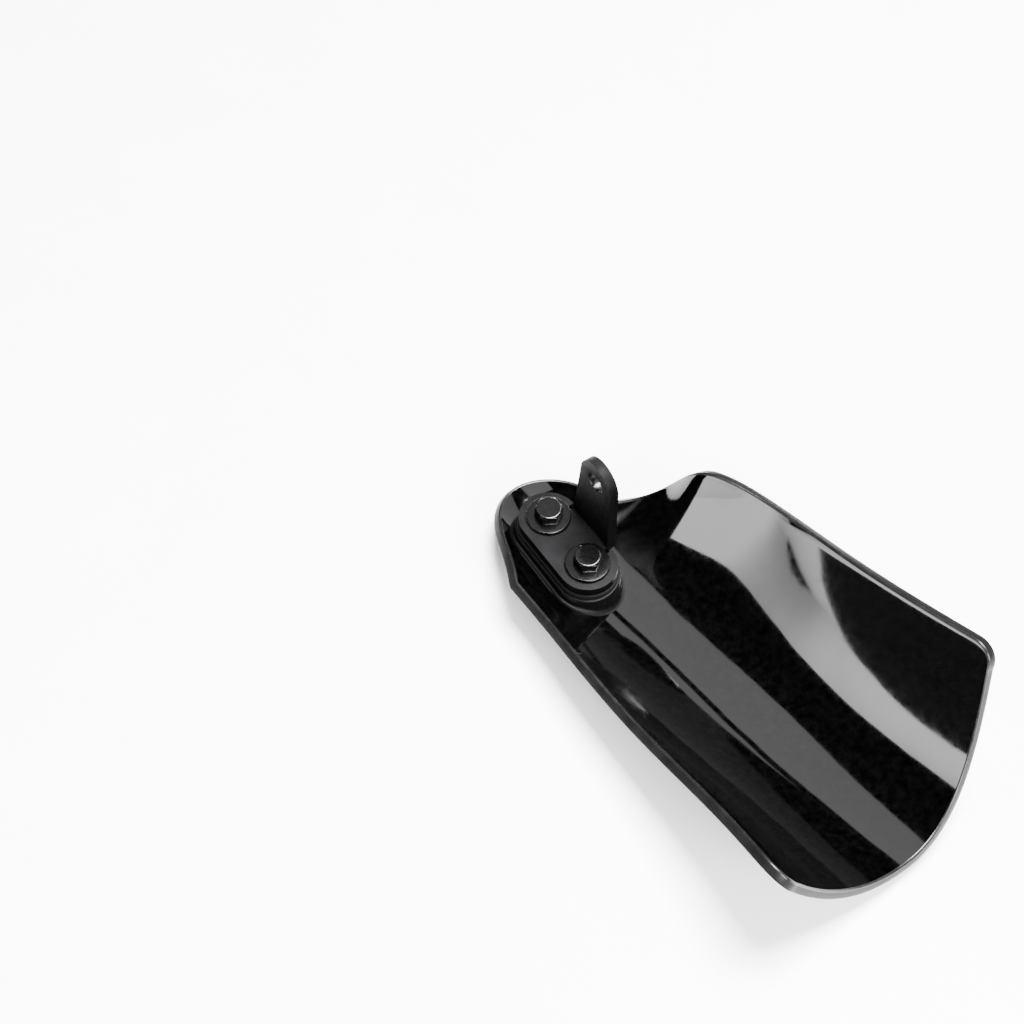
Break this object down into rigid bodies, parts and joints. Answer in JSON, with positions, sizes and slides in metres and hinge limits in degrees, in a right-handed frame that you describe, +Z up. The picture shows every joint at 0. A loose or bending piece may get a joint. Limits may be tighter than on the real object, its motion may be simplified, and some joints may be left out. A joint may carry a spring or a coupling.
{
  "type": "motorcycle hand guard",
  "caption": "Scoop-shaped moulded hand guard for a handlebar, with an upright steel mounting bracket bolted to a land in its rounded nose",
  "frame": {"origin": "on the ground, below the middle of the guard's box", "axes": "+X from the nose with the bracket to the open mouth, +Y from the low near rim to the high far rim, +Z up, the guard lying on its back"},
  "size_m": [0.2232, 0.1196, 0.0672],
  "materials": {
    "moulding": "high-gloss black moulding with a satin trimmed rim",
    "bracket_coat": "fine-textured satin black coat on steel plate",
    "black_oxide": "polished black oxide, brighter on the edges",
    "pad_rubber": "matt black rubber",
    "insert_brass": "plain turned brass"
  },
  "bodies": {
    "root": {"shell": "moulding", "nose_insert": "insert_brass", "inner_insert": "insert_brass", "spacer_pad": "pad_rubber", "bracket": "bracket_coat", "nose_washer": "black_oxide", "inner_washer": "black_oxide", "nose_bolt": "black_oxide", "inner_bolt": "black_oxide"}
  },
  "joints": []
}
